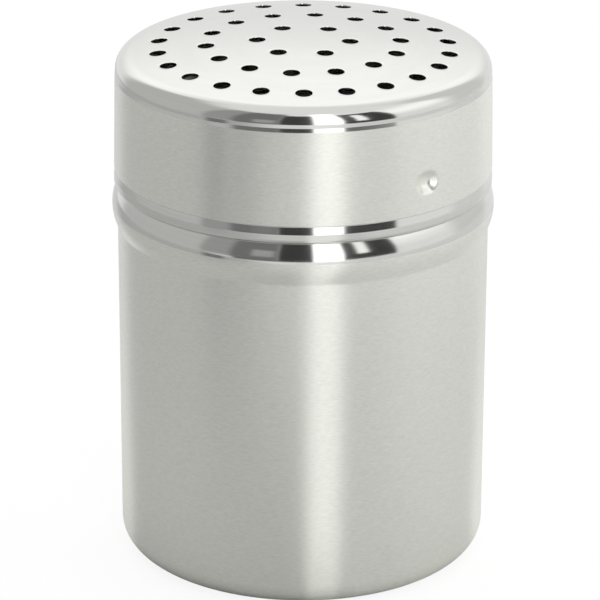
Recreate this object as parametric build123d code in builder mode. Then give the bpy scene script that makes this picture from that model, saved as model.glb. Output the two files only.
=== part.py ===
from build123d import *
import os
from math import cos, degrees, radians, sin, sqrt, tan

# Twist-lock spice shaker of drawn stainless sheet: a canister and a perforated
# lid. The origin is the centre of the base and +Z runs up the axis.
# Millimetres and degrees; angles round the axis are counted from +X.

# both pieces
sheet = 0.5
total_height = 98.5

# canister body
body_radius = 34.4
base_fillet = 4.4
foot_ring_inner = 27.2
panel_radius = 25.2
panel_rise = 1.0
panel_blend = 1.6

# bead that the lid sits on
crown_radius = 35.4
crown_height = 67.8
crown_curve = 7.5
flare_slope = 22
shoulder_slope = 27
flare_blend = 1.5
ledge_height = 71.6
ledge_fold = 0.6

# neck inside the lid
neck_radius = 33.7
neck_fold = 0.25
rim_height = 86.4

# lid, from the dome down to the turned-in edge that rests on the bead
dome_sphere = 245
corner_radius = 34.15
corner_fillet = 2.6
band_height = 92.7
band_blend = 15
skirt_top_radius = 34.6
skirt_bottom_radius = 35.0
edge_height = 71.75
edge_fold = 1.05
edge_inner_radius = 33.9

# sprinkling holes: the radius of each ring and how many holes it has
hole_diameter = 3.1
hole_rings = [(26.8, 22), (17.9, 14), (8.5, 6)]
hole_start = 57.4

# bayonet lugs pressed into the skirt, opposite each other
lug_angles = [-50.6, 129.4]
lug_height = 80.2
lug_width = 5.4
lug_tall = 4.8
lug_depth = 1.6
lug_draft = 42
mouth_bend = 0.5
tip_bend = 0.6

# hooked slots in the neck that take the lugs
slot_clearance = 0.3
slot_turn = 28
slot_round = 1.2
cutter_reach = 2


def wall_plane(angle, radius, height):
    """Plane square to a wall: its x runs round the wall and its z outwards."""
    turn = radians(angle)
    return Plane(
        origin=(radius * cos(turn), radius * sin(turn), height),
        x_dir=(-sin(turn), cos(turn), 0),
        z_dir=(cos(turn), sin(turn), 0),
    )


# Canister: one sheet from the raised middle of the base to the rim of the neck
slot_width = lug_width + 2 * slot_clearance
slot_tall = lug_tall + 2 * slot_clearance
slot_foot = lug_height - slot_tall / 2
slot_half_angle = degrees(slot_width / 2 / neck_radius)

with BuildPart() as canister:
    with BuildSketch(Plane.XZ):
        with BuildLine():
            crown = CenterArc(
                (crown_radius - crown_curve, crown_height),
                crown_curve,
                -flare_slope,
                flare_slope + shoulder_slope,
            )
            # the crown's ends run on straight, down to the wall and up to the ledge
            flare_out = (crown @ 0).X - body_radius
            flare_foot = (crown @ 0).Y - flare_out / tan(radians(flare_slope))
            shoulder_up = ledge_height - (crown @ 1).Y
            ledge_radius = (crown @ 1).X - shoulder_up * tan(radians(shoulder_slope))
            FilletPolyline(
                (0, panel_rise),
                (panel_radius, panel_rise),
                (foot_ring_inner, 0),
                (body_radius, 0),
                (body_radius, flare_foot),
                crown @ 0,
                radius=[panel_blend, panel_blend, base_fillet, flare_blend],
            )
            FilletPolyline(
                crown @ 1,
                (ledge_radius, ledge_height),
                (neck_radius, ledge_height),
                (neck_radius, rim_height),
                radius=[ledge_fold, neck_fold],
            )
            offset(amount=sheet, side=Side.LEFT)
        make_face()
    revolve(axis=Axis.Z)

    # each hooked slot is a leg down from the rim and a branch round the neck
    for angle in lug_angles:
        with BuildSketch(wall_plane(angle, neck_radius + cutter_reach, slot_foot)):
            Rectangle(slot_width, total_height, align=(Align.CENTER, Align.MIN))
        extrude(amount=-2 * cutter_reach, mode=Mode.SUBTRACT)
        with BuildSketch(Plane.XZ.rotated((0, 0, angle))):
            with Locations((neck_radius, lug_height)):
                Rectangle(2 * cutter_reach, slot_tall)
        revolve(
            axis=Axis.Z,
            revolution_arc=-(slot_turn + slot_half_angle),
            mode=Mode.SUBTRACT,
        )
    slot_corners = canister.edges().filter_by(
        lambda edge: edge.geom_type == GeomType.LINE
        and edge.length < 1.1 * sheet
        and abs(edge.center().Z - lug_height) < slot_tall
    )
    fillet(slot_corners, slot_round)

# Lid: one sheet from the middle of the dome to the turned-in edge
corner_height = total_height - dome_sphere + sqrt(dome_sphere**2 - corner_radius**2)
skirt_lean = (skirt_bottom_radius - skirt_top_radius) / (band_height - edge_height)
lug_skirt_radius = skirt_top_radius + skirt_lean * (band_height - lug_height)

# a lug's inner and outer shapes keep one sheet of metal between their sides
lug_slope = tan(radians(lug_draft))
boss_grow = 2 * (sheet / cos(radians(lug_draft)) - lug_slope * sheet / 2)
mouth_grow = 2 * lug_slope * sheet


def lug_edges(angle, depth):
    """The lid's edges at one lug, about that far under the skirt's outer face."""
    wall = wall_plane(angle, lug_skirt_radius, lug_height)
    found = []
    for edge in lid.edges():
        place = wall.to_local_coords(edge.center())
        beside = max(abs(place.X), abs(place.Y)) < lug_width and place.Z < sheet
        if beside and abs(place.Z + depth) < sheet / 3:
            found.append(edge)
    return found


with BuildPart() as lid:
    with BuildSketch(Plane.XZ):
        with BuildLine() as lid_skin:
            dome = RadiusArc(
                (0, total_height), (corner_radius, corner_height), dome_sphere
            )
            FilletPolyline(
                dome @ 1,
                (skirt_top_radius, band_height),
                (skirt_bottom_radius, edge_height),
                (edge_inner_radius, edge_height),
                radius=[band_blend, edge_fold],
            )
            dome_corner = lid_skin.vertices().sort_by_distance(dome @ 1)[0]
            fillet(dome_corner, corner_fillet)
            offset(amount=sheet, side=Side.RIGHT)
        make_face()
    revolve(axis=Axis.Z)

    # each lug is a boss inside the skirt, then its hollow from outside
    for angle in lug_angles:
        with BuildSketch(wall_plane(angle, lug_skirt_radius - sheet / 2, lug_height)):
            SlotOverall(lug_width + boss_grow, lug_tall + boss_grow)
        extrude(amount=-(lug_depth + sheet / 2), taper=lug_draft)
        with BuildSketch(wall_plane(angle, lug_skirt_radius + sheet, lug_height)):
            SlotOverall(lug_width + mouth_grow, lug_tall + mouth_grow)
        extrude(amount=-(lug_depth + sheet), taper=lug_draft, mode=Mode.SUBTRACT)
        fillet(lug_edges(angle, lug_depth + sheet), tip_bend)
        fillet(lug_edges(angle, 0), mouth_bend)

    for ring_radius, hole_count in hole_rings:
        with Locations(Plane.XY.offset(total_height)):
            with PolarLocations(ring_radius, hole_count, start_angle=hole_start):
                Hole(hole_diameter / 2, depth=total_height - edge_height)

canister.part.label = "canister"
lid.part.label = "lid"
os.makedirs("parts", exist_ok=True)
export_step(canister.part, "parts/canister.step")
export_step(lid.part, "parts/lid.step")
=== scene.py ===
import math

import bmesh
import bpy
from mathutils import Matrix, Vector


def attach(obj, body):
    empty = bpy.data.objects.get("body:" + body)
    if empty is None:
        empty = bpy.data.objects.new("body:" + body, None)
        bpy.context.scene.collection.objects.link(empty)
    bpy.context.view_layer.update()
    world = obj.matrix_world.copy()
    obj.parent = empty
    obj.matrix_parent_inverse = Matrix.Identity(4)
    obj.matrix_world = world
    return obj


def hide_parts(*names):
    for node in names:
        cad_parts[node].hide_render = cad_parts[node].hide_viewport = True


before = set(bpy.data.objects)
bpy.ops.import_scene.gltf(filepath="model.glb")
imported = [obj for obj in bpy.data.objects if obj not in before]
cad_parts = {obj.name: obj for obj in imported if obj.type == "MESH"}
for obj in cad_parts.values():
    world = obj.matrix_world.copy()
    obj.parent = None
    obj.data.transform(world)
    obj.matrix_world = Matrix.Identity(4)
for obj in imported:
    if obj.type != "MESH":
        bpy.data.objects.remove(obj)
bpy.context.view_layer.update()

# Twist-lock spice shaker of drawn stainless sheet: a canister and its lid.
# Lengths in the dictionaries are millimetres and angles are degrees, counted
# from +X round the axis, which is Z. The camera looks along +Y.
mm = 0.001
scene = bpy.context.scene
scene.view_settings.view_transform = "Standard"


cameraSetup = {
    "place": (-0.5, -623.4, 292.8),
    "target": (-0.5, 0.0, 47.4),
    "roll": 0.2,
    "lens": 214.0,
    "sensor": 36.0,
}


def makeCamera(setup):
    camera = bpy.data.objects.new("camera", bpy.data.cameras.new("camera"))
    scene.collection.objects.link(camera)
    place = Vector(setup["place"]) * mm
    aim = (Vector(setup["target"]) * mm - place).to_track_quat("-Z", "Y")
    roll = Matrix.Rotation(math.radians(setup["roll"]), 4, "Z")
    camera.matrix_world = Matrix.Translation(place) @ aim.to_matrix().to_4x4() @ roll
    camera.data.lens = setup["lens"]
    camera.data.sensor_width = setup["sensor"]
    scene.camera = camera


makeCamera(cameraSetup)
print("camera set")


def extendTo(mesh, tip, place):
    # draw one straight edge from a vertex and return its far end
    tip = bmesh.ops.extrude_vert_indiv(mesh, verts=[tip])["verts"][0]
    tip.co = place
    return tip


def vertsOf(result, key):
    return [part for part in result[key] if isinstance(part, bmesh.types.BMVert)]


def sweepVert(mesh, tip, centre, axis, angle, steps):
    # draw an arc from a vertex and return its far end
    arc = bmesh.ops.spin(
        mesh, geom=[tip], cent=centre, axis=axis, angle=angle, steps=steps
    )
    return vertsOf(arc, "geom_last")[0]


def drawProfile(mesh, corners, stepAngle):
    # half section in the XZ plane; a corner is (radius, height, bend radius)
    points = [Vector((radius, 0, height)) for radius, height, bend in corners]
    tip = mesh.verts.new(points[0])
    for number in range(1, len(points) - 1):
        corner = points[number]
        bend = corners[number][2]
        if not bend:
            tip = extendTo(mesh, tip, corner)
            continue
        into = (corner - points[number - 1]).normalized()
        out = (points[number + 1] - corner).normalized()
        turn = math.atan2(into.x * out.z - into.z * out.x, into.dot(out))
        tip = extendTo(mesh, tip, corner - into * bend * math.tan(abs(turn) / 2))
        side = Vector((-into.z, 0, into.x)) * math.copysign(bend, turn)
        steps = max(3, round(abs(math.degrees(turn)) / stepAngle))
        tip = sweepVert(mesh, tip, tip.co + side, (0, 1, 0), -turn, steps)
    extendTo(mesh, tip, points[-1])


def turnAbout(angle):
    return Matrix.Rotation(math.radians(angle), 3, "Z")


def spinProfile(mesh, startAngle, columns):
    # turn everything drawn so far into a closed ring of columns
    bmesh.ops.rotate(
        mesh, verts=mesh.verts, cent=(0, 0, 0), matrix=turnAbout(startAngle)
    )
    bmesh.ops.spin(
        mesh,
        geom=mesh.verts[:] + mesh.edges[:],
        cent=(0, 0, 0),
        axis=(0, 0, 1),
        angle=math.tau,
        steps=columns,
        use_merge=True,
    )
    bmesh.ops.remove_doubles(mesh, verts=mesh.verts, dist=0.001)


def polar(radius, angle, height=0.0):
    turn = math.radians(angle)
    return Vector((radius * math.cos(turn), radius * math.sin(turn), height))


def joinInto(mesh, part):
    # add a part that was drawn in a mesh of its own
    data = bpy.data.meshes.new("part")
    part.to_mesh(data)
    part.free()
    mesh.from_mesh(data)
    bpy.data.meshes.remove(data)


def everything(mesh):
    return mesh.verts[:] + mesh.edges[:] + mesh.faces[:]


def finishMesh(mesh, name, materials, zoneOf):
    # close the seams, turn the faces out, paint the zones and make the object
    bmesh.ops.remove_doubles(mesh, verts=mesh.verts, dist=0.01)
    bmesh.ops.recalc_face_normals(mesh, faces=mesh.faces)
    for face in mesh.faces:
        face.smooth = True
        face.material_index = zoneOf(face.calc_center_median())
    bmesh.ops.scale(mesh, vec=(mm, mm, mm), verts=mesh.verts)
    data = bpy.data.meshes.new(name)
    mesh.to_mesh(data)
    mesh.free()
    for material in materials:
        data.materials.append(material)
    piece = bpy.data.objects.new(name, data)
    scene.collection.objects.link(piece)
    return piece


def addSheet(piece, sheet, edgeRound):
    # the outer skin gets the sheet's thickness inwards, then softened cut edges
    wall = piece.modifiers.new("sheetThickness", "SOLIDIFY")
    wall.thickness = sheet * mm
    wall.offset = -1
    wall.use_even_offset = True
    wall.material_offset = 2
    edges = piece.modifiers.new("cutEdges", "BEVEL")
    edges.width = edgeRound * mm
    edges.segments = 2
    edges.limit_method = "ANGLE"
    edges.angle_limit = math.radians(60)
    shading = piece.modifiers.new("shading", "WEIGHTED_NORMAL")
    shading.mode = "FACE_AREA"
    shading.weight = 50


def addNode(tree, kind, **settings):
    node = tree.nodes.new(kind)
    for key, value in settings.items():
        setattr(node, key, value)
    return node


def feed(tree, socket, value):
    # a socket takes either another socket or a plain value
    if isinstance(value, bpy.types.NodeSocket):
        tree.links.new(value, socket)
    else:
        socket.default_value = value


def calculate(tree, operation, *values):
    node = addNode(tree, "ShaderNodeMath", operation=operation)
    for socket, value in zip(node.inputs, values):
        feed(tree, socket, value)
    return node.outputs[0]


def rangeOf(tree, value, low, high, toLow=0.0, toHigh=1.0, smooth=False):
    node = addNode(tree, "ShaderNodeMapRange")
    if smooth:
        node.interpolation_type = "SMOOTHSTEP"
    for key, given in zip(
        ("Value", "From Min", "From Max", "To Min", "To Max"),
        (value, low, high, toLow, toHigh),
    ):
        feed(tree, node.inputs[key], given)
    return node.outputs[0]


def mixTone(tree, mask, first, second):
    node = addNode(tree, "ShaderNodeMix", data_type="FLOAT")
    feed(tree, node.inputs[0], mask)
    feed(tree, node.inputs[2], first)
    feed(tree, node.inputs[3], second)
    return node.outputs[0]


def mixColour(tree, mask, first, second):
    node = addNode(tree, "ShaderNodeMix", data_type="RGBA")
    feed(tree, node.inputs[0], mask)
    feed(tree, node.inputs[6], first)
    feed(tree, node.inputs[7], second)
    return node.outputs[2]


def newGroup(name, inputs, outputs):
    group = bpy.data.node_groups.new(name, "ShaderNodeTree")
    for socketName, value in inputs.items():
        socket = group.interface.new_socket(
            name=socketName, in_out="INPUT", socket_type="NodeSocketFloat"
        )
        socket.default_value = value
    for socketName in outputs:
        group.interface.new_socket(
            name=socketName, in_out="OUTPUT", socket_type="NodeSocketFloat"
        )
    return group, addNode(group, "NodeGroupInput"), addNode(group, "NodeGroupOutput")


def useGroup(tree, group, **values):
    node = addNode(tree, "ShaderNodeGroup", node_tree=group)
    for key, value in values.items():
        feed(tree, node.inputs[key], value)
    return node.outputs


def makeGrainGroup():
    # lines that run round the axis: quick along Z and slow across it
    group, given, result = newGroup(
        "turnedGrain",
        {"Fineness": 3000.0, "Run": 60.0},
        ("Grain",),
    )
    place = addNode(group, "ShaderNodeTexCoord").outputs["Object"]
    parts = addNode(group, "ShaderNodeSeparateXYZ")
    group.links.new(place, parts.inputs[0])
    stretched = addNode(group, "ShaderNodeCombineXYZ")
    for axis, key in enumerate(("Run", "Run", "Fineness")):
        along = calculate(group, "MULTIPLY", parts.outputs[axis], given.outputs[key])
        group.links.new(along, stretched.inputs[axis])
    lines = addNode(group, "ShaderNodeTexNoise")
    group.links.new(stretched.outputs[0], lines.inputs["Vector"])
    lines.inputs["Scale"].default_value = 1.0
    lines.inputs["Detail"].default_value = 3.0
    lines.inputs["Roughness"].default_value = 0.65
    group.links.new(lines.outputs["Fac"], result.inputs["Grain"])
    return group


def makeHandlingGroup():
    # broad, faint cloudiness from handling and washing
    group, given, result = newGroup("handling", {"Size": 45.0}, ("Marks",))
    place = addNode(group, "ShaderNodeTexCoord").outputs["Object"]
    clouds = addNode(group, "ShaderNodeTexNoise")
    group.links.new(place, clouds.inputs["Vector"])
    group.links.new(given.outputs["Size"], clouds.inputs["Scale"])
    clouds.inputs["Detail"].default_value = 4.0
    clouds.inputs["Roughness"].default_value = 0.55
    marks = rangeOf(group, clouds.outputs["Fac"], 0.35, 0.7)
    group.links.new(marks, result.inputs["Marks"])
    return group


turnedGrain = makeGrainGroup()
handling = makeHandlingGroup()

finishes = {
    "satinSteel": {
        "darkLine": (0.876, 0.886, 0.823, 1.0),
        "lightLine": (0.99, 1.0, 0.93, 1.0),
        "fineness": 4200.0,
        "run": 900.0,
        "roughness": (0.285, 0.32),
        "anisotropic": 0.5,
        "grainBump": 0.12,
        "marks": 30.0,
    },
    "polishedSteel": {
        "darkLine": (0.763, 0.766, 0.736, 1.0),
        "lightLine": (0.798, 0.801, 0.77, 1.0),
        "fineness": 2500.0,
        "run": 60.0,
        "roughness": (0.09, 0.13),
        "anisotropic": 0.3,
        "grainBump": 0.01,
        "marks": 40.0,
    },
    "innerSteel": {
        "darkLine": (0.7, 0.7, 0.68, 1.0),
        "lightLine": (0.8, 0.8, 0.78, 1.0),
        "fineness": 1500.0,
        "run": 80.0,
        "roughness": (0.34, 0.45),
        "anisotropic": 0.4,
        "grainBump": 0.05,
        "marks": 35.0,
    },
}


def makeSteel(name, finish):
    material = bpy.data.materials.new(name)
    material.use_nodes = True
    tree = material.node_tree
    shader = tree.nodes["Principled BSDF"]
    shader.inputs["Metallic"].default_value = 1.0
    shader.inputs["Anisotropic"].default_value = finish["anisotropic"]
    shader.inputs["Anisotropic Rotation"].default_value = 0.25

    grain = useGroup(
        tree, turnedGrain, Fineness=finish["fineness"], Run=finish["run"]
    )["Grain"]
    marks = useGroup(tree, handling, Size=finish["marks"])["Marks"]
    shade = rangeOf(tree, grain, 0.3, 0.7)
    colour = mixColour(tree, shade, finish["darkLine"], finish["lightLine"])
    tree.links.new(colour, shader.inputs["Base Color"])
    smooth, rough = finish["roughness"]
    tree.links.new(
        rangeOf(tree, marks, 0.0, 1.0, smooth, rough), shader.inputs["Roughness"]
    )

    # the tangent runs round the axis, the way the steel was brushed
    place = addNode(tree, "ShaderNodeTexCoord").outputs["Object"]
    around = addNode(tree, "ShaderNodeVectorMath", operation="CROSS_PRODUCT")
    around.inputs[0].default_value = (0.0, 0.0, 1.0)
    tree.links.new(place, around.inputs[1])
    tree.links.new(around.outputs[0], shader.inputs["Tangent"])

    bump = addNode(tree, "ShaderNodeBump")
    bump.inputs["Strength"].default_value = finish["grainBump"]
    bump.inputs["Distance"].default_value = 0.02 * mm
    tree.links.new(grain, bump.inputs["Height"])
    tree.links.new(bump.outputs[0], shader.inputs["Normal"])
    return material


satinSteel = makeSteel("satinSteel", finishes["satinSteel"])
polishedSteel = makeSteel("polishedSteel", finishes["polishedSteel"])
innerSteel = makeSteel("innerSteel", finishes["innerSteel"])
print("finishes made")


# the canister is one sheet from the middle of the base to the rim of the neck
canisterShape = {
    "bodyRadius": 34.4,
    "baseFillet": 4.4,
    "footRingInner": 27.2,
    "plainBaseHeight": 0.3,
    "plainBaseRadius": 30.5,
    "plainInsideRadius": 28.2,
    "panelRadius": 25.2,
    "panelRise": 1.0,
    "panelBlend": 1.6,
    "crownRadius": 35.39,
    "crownHeight": 67.6,
    "crownCurve": 7.5,
    "flareSlope": 22.0,
    "shoulderSlope": 27.0,
    "flareBlend": 1.5,
    "polishFoot": 68.2,
    "ledgeHeight": 71.6,
    "ledgeFold": 0.4,
    "neckRadius": 33.7,
    "neckFold": 0.25,
    "neckFoot": 73.0,
    "rimHeight": 86.4,
    "slotAngles": (-50.6, 129.4),
    "slotWidth": 6.0,
    "slotFoot": 77.5,
    "slotTop": 82.9,
    "slotTurn": 28.0,
    "slotRound": 1.2,
    "columns": 264,
    "stepAngle": 5.0,
    "sheet": 0.5,
    "edgeRound": 0.1,
}


def canisterProfile(shape):
    # the crown's arc is a bend whose two straights run on to the wall and ledge
    flare = math.radians(shape["flareSlope"])
    shoulder = math.radians(shape["shoulderSlope"])
    centre = shape["crownRadius"] - shape["crownCurve"]
    middle = (shoulder - flare) / 2
    reach = shape["crownCurve"] / math.cos((shoulder + flare) / 2)
    crown = (
        centre + reach * math.cos(middle),
        shape["crownHeight"] + reach * math.sin(middle),
    )
    flareFoot = crown[1] - (crown[0] - shape["bodyRadius"]) / math.tan(flare)
    ledgeRadius = crown[0] - (shape["ledgeHeight"] - crown[1]) * math.tan(shoulder)
    return [
        (0.0, shape["panelRise"], 0),
        (shape["panelRadius"], shape["panelRise"], shape["panelBlend"]),
        (shape["footRingInner"], 0.0, shape["panelBlend"]),
        (shape["bodyRadius"], 0.0, shape["baseFillet"]),
        (shape["bodyRadius"], flareFoot, shape["flareBlend"]),
        (crown[0], crown[1], shape["crownCurve"]),
        (ledgeRadius, shape["ledgeHeight"], shape["ledgeFold"]),
        (shape["neckRadius"], shape["ledgeHeight"], shape["neckFold"]),
        (shape["neckRadius"], shape["neckFoot"], 0),
    ]


def drawNeck(shape, slotAngle):
    # half of the neck as a flat blank with its hooked slot, then rolled up
    neck = bmesh.new()
    arc = math.radians(1) * shape["neckRadius"]
    half = shape["slotWidth"] / 2
    hook = -half - shape["slotTurn"] * arc
    low, high = shape["slotFoot"], shape["slotTop"]
    foot, rim = shape["neckFoot"], shape["rimHeight"]
    outline = [
        (-90 * arc, foot), (90 * arc, foot), (90 * arc, rim), (half, rim),
        (half, low), (hook, low), (hook, high), (-half, high), (-half, rim),
        (-90 * arc, rim),
    ]
    corners = [neck.verts.new((along, 0, height)) for along, height in outline]
    neck.faces.new(corners)
    bmesh.ops.bevel(
        neck,
        geom=corners[4:8],
        offset=shape["slotRound"],
        affect="VERTICES",
        segments=6,
        profile=0.5,
        material=-1,
    )
    columns = shape["columns"] // 2
    for column in range(1, columns):
        bmesh.ops.bisect_plane(
            neck,
            geom=everything(neck),
            dist=0.001,
            plane_co=((column / columns - 0.5) * 180 * arc, 0, 0),
            plane_no=(1, 0, 0),
        )
    for vert in neck.verts:
        vert.co = polar(shape["neckRadius"], slotAngle + vert.co.x / arc, vert.co.z)
    return neck


def makeCanister(shape):
    mesh = bmesh.new()
    drawProfile(mesh, canisterProfile(shape), shape["stepAngle"])
    spinProfile(mesh, shape["slotAngles"][0], shape["columns"])
    for slotAngle in shape["slotAngles"]:
        joinInto(mesh, drawNeck(shape, slotAngle))

    # 0 satin wall, 1 polished bead, 2 plain inside, neck and base panel
    def zoneOf(centre):
        radius = math.hypot(centre.x, centre.y)
        standing = centre.z < shape["plainBaseHeight"]
        if standing and radius < shape["plainBaseRadius"]:
            return 2
        if centre.z > shape["ledgeHeight"] or radius < shape["plainInsideRadius"]:
            return 2
        return 1 if centre.z > shape["polishFoot"] else 0

    piece = finishMesh(
        mesh, "canisterShell", (satinSteel, polishedSteel, innerSteel), zoneOf
    )
    addSheet(piece, shape["sheet"], shape["edgeRound"])
    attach(piece, "canister")
    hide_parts("canister")
    return piece


makeCanister(canisterShape)
print("canister made")


# the lid is one sheet from the middle of the dome to the turned-in edge
lidShape = {
    "totalHeight": 98.5,
    "domeSphere": 245.0,
    "cornerRadius": 34.15,
    "cornerFillet": 3.15,
    "bandHeight": 92.7,
    "stripTopHeight": 93.66,
    "stripRadius": 34.51,
    "stripFootHeight": 92.98,
    "stripBend": 0.3,
    "skirtTopRadius": 34.6,
    "skirtBottomRadius": 35.0,
    "stepRadius": 34.68,
    "stepHeight": 74.85,
    "stepBend": 0.2,
    "flareRadius": 34.98,
    "flareHeight": 73.35,
    "flareBend": 0.6,
    "edgeHeight": 71.64,
    "edgeFold": 0.7,
    "edgeInnerRadius": 33.9,
    "satinBottom": 74.95,
    "satinTop": 92.25,
    "lugWindowBottom": 76.8,
    "lugWindowTop": 83.6,
    "lugWindowRows": 6,
    "lugWindowColumns": 12,
    "columns": 264,
    "stepAngle": 5.0,
    "sheet": 0.5,
    "edgeRound": 0.1,
}

lugShape = {
    "angles": (-50.6, 129.4),
    "height": 80.5,
    "width": 5.1,
    "tall": 4.3,
    "depth": 1.15,
    "draft": 48.0,
    "mouthBend": 0.7,
    "floorBend": 1.6,
    "mouthFlat": 0.5,
    "reach": 25.0,
    "columns": 36,
    "stepAngle": 10.0,
}

# each zone of the dome is a ring of sectors with a hole in the middle of each,
# and where two zones meet they have the same number of points
holeZones = {
    "diameter": 3.1,
    "startAngle": 57.4,
    "rings": (
        {
            "outer": 31.2,
            "inner": 22.35,
            "holes": 26.8,
            "count": 22,
            "outerSteps": 12,
            "innerSteps": 14,
        },
        {
            "outer": 22.35,
            "inner": 13.2,
            "holes": 17.9,
            "count": 14,
            "outerSteps": 22,
            "innerSteps": 12,
        },
        {
            "outer": 13.2,
            "inner": 4.2,
            "holes": 8.5,
            "count": 6,
            "outerSteps": 28,
            "innerSteps": 8,
        },
    ),
    "sidePoints": 6,
    "cuts": 4,
}


def domeHeight(shape, radius):
    sphere = shape["domeSphere"]
    return shape["totalHeight"] - sphere + math.sqrt(sphere**2 - radius**2)


def skirtRadius(shape, height):
    lean = (shape["skirtBottomRadius"] - shape["skirtTopRadius"]) / (
        shape["bandHeight"] - shape["edgeHeight"]
    )
    return shape["skirtTopRadius"] + lean * (shape["bandHeight"] - height)


def lidProfile(shape, domeEdge):
    # rows of faces that the lug windows are cut from lie between two heights
    low, high, rows = (
        shape[key] for key in ("lugWindowBottom", "lugWindowTop", "lugWindowRows")
    )
    heights = [high + (low - high) * row / rows for row in range(rows + 1)]
    heights += [shape["satinBottom"]]
    return [
        (domeEdge, domeHeight(shape, domeEdge), 0),
        (
            shape["cornerRadius"],
            domeHeight(shape, shape["cornerRadius"]),
            shape["cornerFillet"],
        ),
        (shape["stripRadius"], shape["stripTopHeight"], shape["stripBend"]),
        (shape["stripRadius"], shape["stripFootHeight"], shape["stripBend"]),
        (
            skirtRadius(shape, shape["satinTop"]),
            shape["satinTop"],
            shape["stripBend"],
        ),
        *((skirtRadius(shape, height), height, 0) for height in heights),
        (shape["stepRadius"], shape["stepHeight"], shape["stepBend"]),
        (shape["flareRadius"], shape["flareHeight"], shape["flareBend"]),
        (shape["flareRadius"], shape["edgeHeight"], shape["edgeFold"]),
        (shape["edgeInnerRadius"], shape["edgeHeight"], 0),
    ]


def cutWindow(mesh, shape, angle):
    # take the faces nearest a lug out of the skirt
    half = math.cos(math.radians(180 / shape["columns"] * shape["lugWindowColumns"]))
    facing = polar(1, angle).xy
    faces = []
    for face in mesh.faces:
        centre = face.calc_center_median()
        if shape["lugWindowBottom"] < centre.z < shape["lugWindowTop"]:
            if centre.xy.normalized().dot(facing) > half:
                faces.append(face)
    bmesh.ops.delete(mesh, geom=faces, context="FACES")


def drawLug(shape, lug, angle):
    # a round cup pulled apart into a slot shape, then laid on the skirt
    cup = bmesh.new()
    halfTall = lug["tall"] / 2
    floor = halfTall - lug["depth"] * math.tan(math.radians(lug["draft"]))
    section = [
        (halfTall + lug["mouthFlat"], 0, 0),
        (halfTall, 0, lug["mouthBend"]),
        (floor, -lug["depth"], lug["floorBend"]),
        (0, -lug["depth"], 0),
    ]
    drawProfile(cup, section, lug["stepAngle"])
    spinProfile(cup, 180 / lug["columns"], lug["columns"])
    spread = (lug["width"] - lug["tall"]) / 2
    for vert in cup.verts:
        along = vert.co.x
        if abs(along) > 0.01:
            along += math.copysign(spread, along)
        height = lug["height"] + vert.co.y
        wall = skirtRadius(shape, height)
        vert.co = polar(wall + vert.co.z, angle + math.degrees(along / wall), height)
    return cup


def addLugs(mesh, shape, lug):
    # the rims of the window and of the cup are joined by a band of faces
    beside = math.cos(math.radians(lug["reach"]))
    for angle in lug["angles"]:
        cutWindow(mesh, shape, angle)
        joinInto(mesh, drawLug(shape, lug, angle))
        facing = polar(1, angle).xy
        rims = []
        for edge in mesh.edges:
            end = edge.verts[0].co
            if edge.is_boundary and shape["satinBottom"] < end.z < shape["satinTop"]:
                if end.xy.normalized().dot(facing) > beside:
                    rims.append(edge)
        bmesh.ops.bridge_loops(mesh, edges=rims)


def drawSectors(zones, ring):
    # outline of one sector, a hole in it, the web between them, and its copies
    part = bmesh.new()
    count, start = ring["count"], zones["startAngle"]
    half = 180 / count
    zAxis, origin = (0, 0, 1), (0, 0, 0)
    sweep = math.radians(2 * half)
    first = part.verts.new(polar(ring["outer"], start - half))
    outerEnd = sweepVert(part, first, origin, zAxis, sweep, ring["outerSteps"])
    innerEnd = extendTo(part, outerEnd, polar(ring["inner"], start + half))
    last = sweepVert(part, innerEnd, origin, zAxis, -sweep, ring["innerSteps"])
    sides = [part.edges.get((outerEnd, innerEnd)), part.edges.new((last, first))]
    bmesh.ops.subdivide_edges(part, edges=sides, cuts=zones["sidePoints"] - 1)
    hole = bmesh.ops.create_circle(
        part, segments=len(part.verts), radius=zones["diameter"] / 2
    )["verts"]
    bmesh.ops.translate(part, verts=hole, vec=polar(ring["holes"], start))
    bmesh.ops.bridge_loops(part, edges=part.edges[:])
    web = [edge for edge in part.edges if not edge.is_boundary]
    bmesh.ops.subdivide_edges(part, edges=web, cuts=zones["cuts"])
    bmesh.ops.spin(
        part,
        geom=everything(part),
        cent=origin,
        axis=zAxis,
        angle=sweep * (count - 1),
        steps=count - 1,
        use_duplicate=True,
    )
    return part


def drawDome(shape, zones):
    dome = bmesh.new()
    for ring in zones["rings"]:
        joinInto(dome, drawSectors(zones, ring))
    inmost = zones["rings"][-1]
    middle = bmesh.ops.create_circle(
        dome,
        cap_ends=True,
        segments=inmost["count"] * inmost["innerSteps"],
        radius=inmost["inner"],
    )["verts"]
    # a circle starts at +Y, so it's turned to start where the sectors meet
    bmesh.ops.rotate(
        dome,
        verts=middle,
        cent=(0, 0, 0),
        matrix=turnAbout(zones["startAngle"] + 180 / inmost["count"] - 90),
    )
    bmesh.ops.poke(dome, faces=list(middle[0].link_faces))
    for vert in dome.verts:
        vert.co.z = domeHeight(shape, vert.co.xy.length)
    return dome


def makeLid(shape, lug, zones):
    mesh = bmesh.new()
    outmost = zones["rings"][0]
    seam = zones["startAngle"] + 180 / outmost["count"]
    drawProfile(mesh, lidProfile(shape, outmost["outer"]), shape["stepAngle"])
    spinProfile(mesh, seam, shape["columns"])
    addLugs(mesh, shape, lug)
    joinInto(mesh, drawDome(shape, zones))

    # 0 satin skirt, 1 polished dome, shoulder and lower edge, 2 plain inside
    def zoneOf(centre):
        return 0 if shape["satinBottom"] < centre.z < shape["satinTop"] else 1

    piece = finishMesh(
        mesh, "lidShell", (satinSteel, polishedSteel, innerSteel), zoneOf
    )
    addSheet(piece, shape["sheet"], shape["edgeRound"])
    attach(piece, "lid")
    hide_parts("lid")
    return piece


makeLid(lidShape, lugShape, holeZones)
print("lid made")


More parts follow.
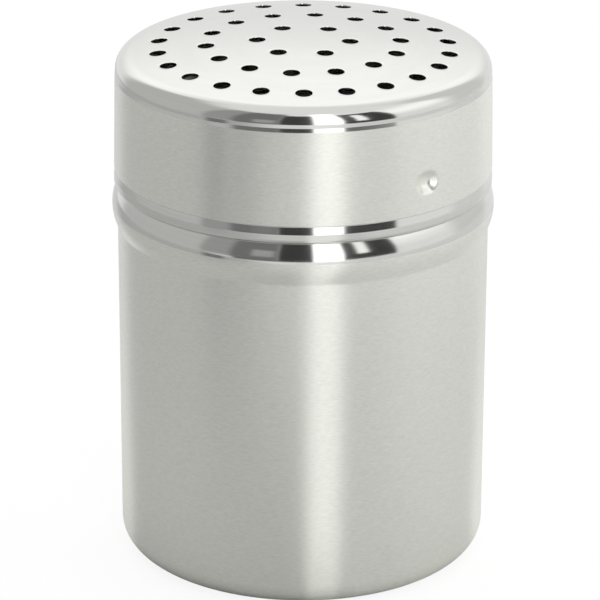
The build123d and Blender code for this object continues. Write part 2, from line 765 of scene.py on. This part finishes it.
# a soft light tent with patches in it: left, right, low, high and softness in
# degrees, then brightness; left and right are counted from the camera's side
studioLights = {
    "tent": 0.85,
    "white": 1.0,
    "patches": {
        "rearWindow": (-300, 300, 20, 50, 15.0, 1.18),
        "leftWall": (-135, -56, -60, 60, 8.0, 0.52),
        "rightWall": (100, 138, -10, 60, 8.0, 0.68),
        "greyWall": (-62, -14, -5.5, 60, 3.0, 0.34),
        "greyCorner": (-43, -14, -5.5, 60, 3.0, 0.18),
        "darkRoom": (-14, 56, -5.5, 52, 1.0, 0.05),
        "tableEdge": (-41, 6, -14, -5, 1.0, 0.06),
        "greyCard": (-30, -17, 3, 20, 2.0, 0.38),
        "softbox": (6, 24, -9, 62, 1.0, 1.8),
        "window": (32, 39, 8, 44, 1.0, 1.15),
    },
}


def makePatchGroup():
    # a soft-edged patch of the tent between four directions in degrees
    group, given, result = newGroup(
        "lightPatch",
        {
            "Azimuth": 0.0,
            "Elevation": 0.0,
            "Left": -10.0,
            "Right": 10.0,
            "Low": 0.0,
            "High": 20.0,
            "Softness": 1.0,
        },
        ("Mask",),
    )
    mask = 1.0
    softness = given.outputs["Softness"]
    outside = calculate(group, "MULTIPLY", softness, -1.0)
    for way, edge, order in (
        ("Azimuth", "Left", 1.0),
        ("Azimuth", "Right", -1.0),
        ("Elevation", "Low", 1.0),
        ("Elevation", "High", -1.0),
    ):
        inside = calculate(group, "SUBTRACT", given.outputs[way], given.outputs[edge])
        inside = calculate(group, "MULTIPLY", inside, order)
        step = rangeOf(group, inside, outside, softness, smooth=True)
        mask = calculate(group, "MULTIPLY", step, mask)
    group.links.new(mask, result.inputs["Mask"])
    return group


patchGroup = makePatchGroup()


def azimuthOf(tree, across, along):
    # degrees round the axis, counted from -Y
    towards = calculate(tree, "MULTIPLY", along, -1.0)
    return calculate(tree, "DEGREES", calculate(tree, "ARCTAN2", across, towards))


def layPatches(tree, tone, patches, azimuth, elevation):
    for left, right, low, high, softness, brightness in patches.values():
        mask = useGroup(
            tree,
            patchGroup,
            Azimuth=azimuth,
            Elevation=elevation,
            Left=left,
            Right=right,
            Low=low,
            High=high,
            Softness=softness,
        )["Mask"]
        tone = mixTone(tree, mask, tone, brightness)
    return tone


def makeWorld(lights):
    world = bpy.data.worlds.new("studio")
    scene.world = world
    world.use_nodes = True
    tree = world.node_tree
    tree.nodes.clear()
    parts = addNode(tree, "ShaderNodeSeparateXYZ")
    way = addNode(tree, "ShaderNodeTexCoord").outputs["Generated"]
    tree.links.new(way, parts.inputs[0])
    azimuth = azimuthOf(tree, parts.outputs[0], parts.outputs[1])
    elevation = calculate(tree, "ARCSINE", parts.outputs[2])
    elevation = calculate(tree, "DEGREES", elevation)
    tone = layPatches(tree, lights["tent"], lights["patches"], azimuth, elevation)
    # the camera itself sees plain white behind the object
    rays = addNode(tree, "ShaderNodeLightPath")
    tone = mixTone(tree, rays.outputs["Is Camera Ray"], tone, lights["white"])
    light = addNode(tree, "ShaderNodeBackground")
    tree.links.new(tone, light.inputs["Color"])
    output = addNode(tree, "ShaderNodeOutputWorld")
    tree.links.new(light.outputs[0], output.inputs["Surface"])


makeWorld(studioLights)

floorSetup = {
    "radius": 520.0,
    "plain": (0.8, 0.8, 0.79, 1.0),
    "glow": 0.86,
    "shade": (0.2, 0.2, 0.2, 1.0),
    # painted light: how much paler the floor is painted near the shaker and far from
    # it, seen only in the steel
    "near": (60.0, 1.2),
    "far": (160.0, 1.08),
    "focus": 17.2,  # half of the wall's radius
    # painted light and shade on the floor, seen only in the steel: how pale it is, as
    # patches between two directions in degrees and two distances from the axis in
    # centimetres
    "left": 0.545,
    "patches": {
        "middle": (-27, 400, 22, 400, 16.0, 1.0),
        "right": (35, 400, -90, 400, 14.0, 0.78),
        "rightFar": (38, 400, 20, 400, 6.0, 0.88),
        "rightNear": (30, 150, -90, 11, 6.0, 0.66),
        # painted highlight: a bright strip on the floor that shows as a bright streak
        # down the steel
        "paintedLightStreak": (3, 24, 4.2, 400, 4.0, 1.14),
        "backRight": (138, 400, 20, 400, 8.0, 1.0),
        "backRightNear": (150, 400, -90, 18, 8.0, 0.86),
        "backLeft": (-400, -146, -90, 400, 10.0, 0.83),
        # painted shade: a dark strip on the floor that shows as a dark streak in the
        # steel
        "paintedShadeStrip": (-61, -47, 25, 400, 3.0, 0.22),
    },
}


def makeFloor(setup):
    mesh = bmesh.new()
    bmesh.ops.create_circle(
        mesh, cap_ends=True, segments=128, radius=setup["radius"] * mm
    )
    data = bpy.data.meshes.new("floor")
    mesh.to_mesh(data)
    mesh.free()
    floor = bpy.data.objects.new("floor", data)
    scene.collection.objects.link(floor)

    # white to the camera and pale in the steel, with painted light and shade patches
    # in the steel, and it keeps the soft shadow
    material = bpy.data.materials.new("paleFloorPaintedLight")
    material.use_nodes = True
    tree = material.node_tree
    tree.nodes.clear()
    rays = addNode(tree, "ShaderNodeLightPath")
    glow = addNode(tree, "ShaderNodeEmission")
    glow.inputs["Strength"].default_value = setup["glow"]
    shade = addNode(tree, "ShaderNodeBsdfDiffuse")
    shade.inputs["Color"].default_value = setup["shade"]
    seen = addNode(tree, "ShaderNodeAddShader")
    tree.links.new(shade.outputs[0], seen.inputs[0])
    tree.links.new(glow.outputs[0], seen.inputs[1])

    parts = addNode(tree, "ShaderNodeSeparateXYZ")
    place = addNode(tree, "ShaderNodeTexCoord").outputs["Object"]
    tree.links.new(place, parts.inputs[0])
    azimuth = azimuthOf(tree, parts.outputs[0], parts.outputs[1])
    reach = addNode(tree, "ShaderNodeVectorMath", operation="LENGTH")
    tree.links.new(place, reach.inputs[0])
    distance = reach.outputs["Value"]
    centimetres = calculate(tree, "DIVIDE", distance, 10 * mm)
    # the round wall shows near things narrower, so directions are spread there
    spread = calculate(tree, "DIVIDE", setup["focus"] * mm, distance)
    spread = calculate(tree, "SUBTRACT", 1.0, spread)
    azimuth = calculate(tree, "DIVIDE", azimuth, spread)
    # painted light and shade: the floor's tone in the steel is set by the patches,
    # darker or paler round the shaker
    tone = layPatches(tree, setup["left"], setup["patches"], azimuth, centimetres)
    # painted light: the floor in the steel is painted paler near the shaker than far
    # from it
    (near, nearTone), (far, farTone) = setup["near"], setup["far"]
    paintedPaleness = rangeOf(tree, distance, near * mm, far * mm, nearTone, farTone)
    tone = calculate(tree, "MULTIPLY", tone, paintedPaleness)
    colour = mixColour(tree, rays.outputs["Is Glossy Ray"], setup["plain"], tone)
    mirrored = addNode(tree, "ShaderNodeBsdfDiffuse")
    tree.links.new(colour, mirrored.inputs["Color"])
    choose = addNode(tree, "ShaderNodeMixShader")
    tree.links.new(rays.outputs["Is Camera Ray"], choose.inputs[0])
    tree.links.new(mirrored.outputs[0], choose.inputs[1])
    tree.links.new(seen.outputs[0], choose.inputs[2])
    output = addNode(tree, "ShaderNodeOutputMaterial")
    tree.links.new(choose.outputs[0], output.inputs["Surface"])
    data.materials.append(material)


makeFloor(floorSetup)
print("studio made")
